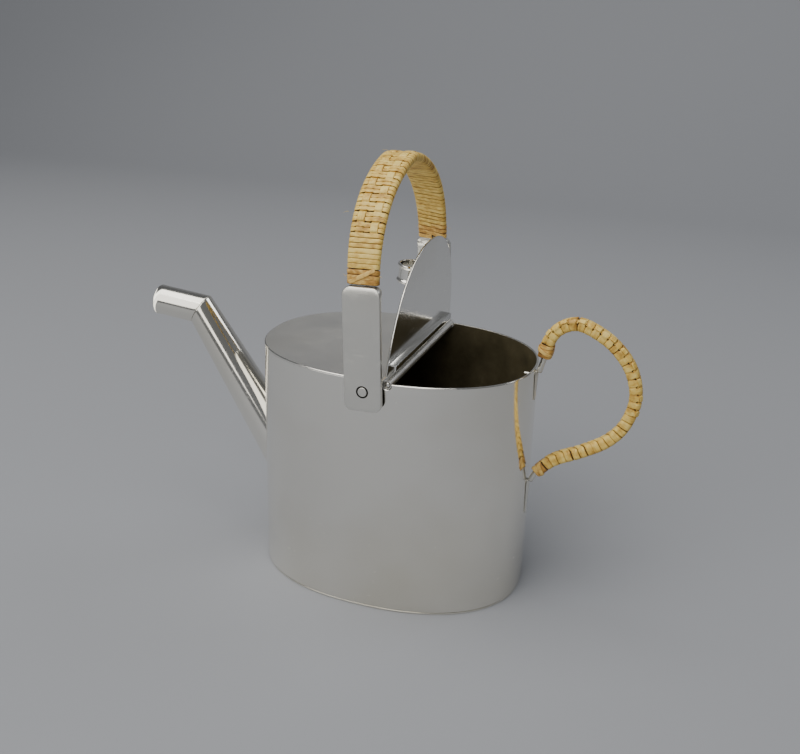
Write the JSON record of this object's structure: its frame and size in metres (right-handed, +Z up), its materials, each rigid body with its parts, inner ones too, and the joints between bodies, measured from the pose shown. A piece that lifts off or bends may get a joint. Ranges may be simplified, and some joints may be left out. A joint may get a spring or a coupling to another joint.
{
  "type": "teapot",
  "caption": "Oval silver teapot in watering-can form with a mitred spout, a half lid on a hinge, a swinging cane-wrapped bail and a cane-wrapped loop handle at the back.",
  "frame": {"origin": "centre of the base's flat underside", "axes": "+Z up, -X towards the spout, +X towards the loop handle, the bail swings about an axis along Y"},
  "size_m": [0.2434, 0.1022, 0.2052],
  "materials": {
    "polished_silver": "bright hand-polished silver with fine scratches",
    "worn_silver": "polished silver gone softly grey from handling",
    "satin_silver": "satin silver, rubbed dull by handling",
    "cane": "split cane strip, honey coloured, slightly glossy skin",
    "tucked_cane": "split cane ends, tied and tucked, darker and duller"
  },
  "bodies": {
    "pot": {"base_plate": "polished_silver", "body_wall": "polished_silver", "front_cover": "worn_silver", "spout_barrel": "polished_silver", "spout_tip": "polished_silver", "hinge_pin": "polished_silver", "hinge_knuckle_1": "polished_silver", "hinge_knuckle_3": "polished_silver", "hinge_knuckle_5": "polished_silver", "pivot_rivet_left": "satin_silver", "pivot_rivet_right": "satin_silver", "pivot_backing_left": "satin_silver", "pivot_backing_right": "satin_silver", "pivot_collar_left": "satin_silver", "pivot_collar_right": "satin_silver", "loop_core": "polished_silver", "loop_wrap": "cane", "loop_knot_upper": "tucked_cane", "loop_knot_lower": "cane", "loop_tongue_upper": "polished_silver", "loop_tongue_lower": "polished_silver", "loop_pin": "polished_silver"},
    "lid": {"lid_plate": "worn_silver", "lid_stiffener": "polished_silver", "finger_ring": "polished_silver", "lid_knuckle_2": "polished_silver", "lid_knuckle_4": "polished_silver"},
    "bail": {"bail_strap_left": "satin_silver", "bail_strap_right": "satin_silver", "bail_core": "satin_silver", "bail_wrap": "cane", "bail_binding_left": "tucked_cane", "bail_binding_right": "tucked_cane"}
  },
  "joints": [
    {"name": "lid_hinge", "type": "hinge", "parent": "pot", "child": "lid", "pos_m": [0.0105, 0, 0.1134], "axis": [0, -1, 0], "range_deg": [-85.6, 19.4]},
    {"name": "bail_swing", "type": "hinge", "parent": "pot", "child": "bail", "pos_m": [0.0007, 0, 0.1101], "axis": [0, 1, 0], "range_deg": [-80, 68]}
  ]
}
